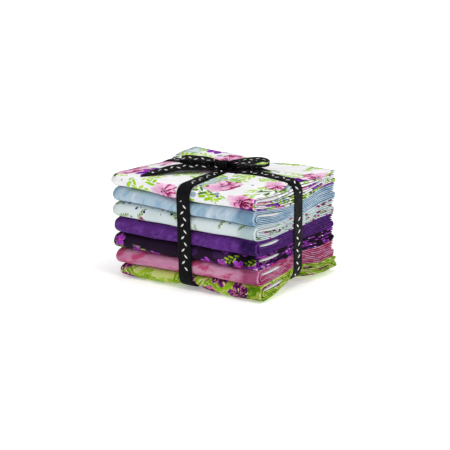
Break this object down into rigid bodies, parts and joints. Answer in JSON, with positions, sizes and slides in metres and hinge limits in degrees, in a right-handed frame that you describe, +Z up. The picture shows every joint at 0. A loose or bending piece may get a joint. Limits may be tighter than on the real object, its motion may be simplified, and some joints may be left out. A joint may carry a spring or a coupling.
{
  "type": "fat quarter bundle",
  "caption": "Stack of folded quilting cotton pieces in different prints, tied both ways with a narrow ribbon and a bow on top.",
  "frame": {"origin": "middle of the base, on the surface the bundle rests on", "axes": "+X along the long side, +Y from the smooth front folds to the back, +Z up"},
  "size_m": [0.1444, 0.1206, 0.0989],
  "materials": {
    "fat_quarter_1_white_floral": "printed cotton, white ground with flowers",
    "fat_quarter_2_blue_mottled": "printed cotton, light blue mottled",
    "fat_quarter_3_mint_sprig": "printed cotton, pale mint with small sprigs",
    "fat_quarter_4_purple_mottled": "printed cotton, purple mottled",
    "fat_quarter_5_dark_floral": "printed cotton, near-black ground with purple flowers",
    "fat_quarter_6_pink_mottled": "printed cotton, pink mottled",
    "fat_quarter_7_lime_leafy": "printed cotton, lime foliage",
    "ribbon": "black woven ribbon"
  },
  "bodies": {
    "root": {"fat_quarter_1_white_floral": "fat_quarter_1_white_floral", "fat_quarter_2_blue_mottled": "fat_quarter_2_blue_mottled", "fat_quarter_3_mint_sprig": "fat_quarter_3_mint_sprig", "fat_quarter_4_purple_mottled": "fat_quarter_4_purple_mottled", "fat_quarter_5_dark_floral": "fat_quarter_5_dark_floral", "fat_quarter_6_pink_mottled": "fat_quarter_6_pink_mottled", "fat_quarter_7_lime_leafy": "fat_quarter_7_lime_leafy", "ribbon_lengthwise": "ribbon", "ribbon_crosswise": "ribbon", "bow_knot": "ribbon", "bow_loop_left": "ribbon", "bow_loop_right": "ribbon", "bow_tail_left": "ribbon", "bow_tail_right": "ribbon"}
  },
  "joints": []
}
